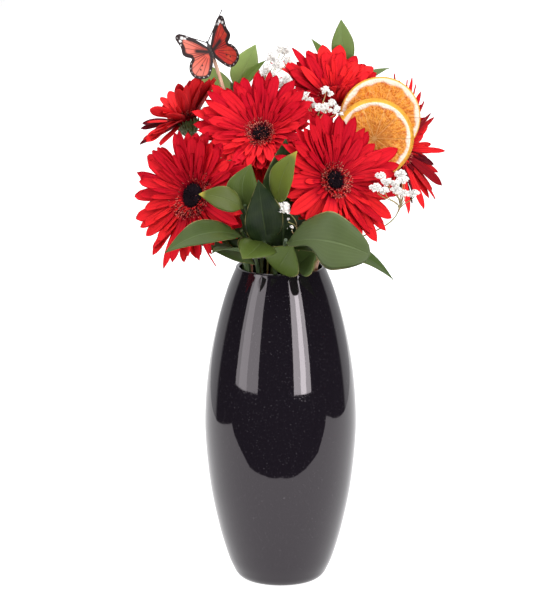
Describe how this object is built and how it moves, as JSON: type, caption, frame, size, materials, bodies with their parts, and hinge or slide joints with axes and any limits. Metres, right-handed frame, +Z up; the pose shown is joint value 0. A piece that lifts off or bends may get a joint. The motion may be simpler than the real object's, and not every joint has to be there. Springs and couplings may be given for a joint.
{
  "type": "gerberas in a vase",
  "caption": "Bouquet of red gerberas with glossy leaves, gypsophila, dried orange slices and a butterfly on a pick, standing in a tall black barrel-shaped vase.",
  "frame": {"origin": "centre of the vase's flat base, on the surface it stands on", "axes": "+Z up along the vase's axis, -Y towards the front of the bouquet, +X to the viewer's right"},
  "size_m": [0.258, 0.2072, 0.4868],
  "materials": {
    "glaze": "gloss",
    "petal": "satin",
    "eye": "matte",
    "stem": "satin",
    "leaf": "gloss",
    "blossom": "matte",
    "orange": "satin",
    "wing": "satin",
    "body": "matte",
    "wood": "matte"
  },
  "bodies": {
    "root": {"butterfly_body": "body", "butterfly_left_wing": "wing", "butterfly_pick": "wood", "butterfly_right_wing": "wing", "foliage_back_left_stem": "stem", "foliage_back_right_stem": "stem", "foliage_front_left_stem": "stem", "foliage_front_middle_stem": "stem", "foliage_front_right_stem": "stem", "foliage_middle_right_stem": "stem", "gerbera_back_right_eye": "eye", "gerbera_back_right_petals": "petal", "gerbera_back_right_stem": "stem", "gerbera_far_left_eye": "eye", "gerbera_far_left_petals": "petal", "gerbera_far_left_stem": "stem", "gerbera_far_right_eye": "eye", "gerbera_far_right_petals": "petal", "gerbera_far_right_stem": "stem", "gerbera_front_left_eye": "eye", "gerbera_front_left_petals": "petal", "gerbera_front_left_stem": "stem", "gerbera_front_right_eye": "eye", "gerbera_front_right_petals": "petal", "gerbera_front_right_stem": "stem", "gerbera_middle_eye": "eye", "gerbera_middle_petals": "petal", "gerbera_middle_stem": "stem", "gypsophila_low": "blossom", "gypsophila_middle": "blossom", "gypsophila_right": "blossom", "gypsophila_top": "blossom", "leaf_back_left_arched": "leaf", "leaf_back_left_low": "leaf", "leaf_back_left_outer": "leaf", "leaf_back_left_pale": "leaf", "leaf_back_left_side": "leaf", "leaf_back_right_edge": "leaf", "leaf_back_right_outer": "leaf", "leaf_back_right_spike": "leaf", "leaf_back_right_tall": "leaf", "leaf_front_left_long": "leaf", "leaf_front_left_narrow": "leaf", "leaf_front_left_under": "leaf", "leaf_front_middle_collar": "leaf", "leaf_front_middle_dark": "leaf", "leaf_front_middle_low": "leaf", "leaf_front_middle_over_eye": "eye", "leaf_front_middle_upright": "leaf", "leaf_front_middle_wide": "leaf", "leaf_front_right_broad": "leaf", "leaf_front_right_mouth": "leaf", "leaf_front_right_tail": "leaf", "leaf_middle_right_deep": "leaf", "leaf_middle_right_shaded": "leaf", "leaf_middle_right_yellow_tip": "leaf", "orange_pick": "wood", "orange_slice_back": "orange", "orange_slice_front": "orange", "vase": "glaze"}
  },
  "joints": []
}
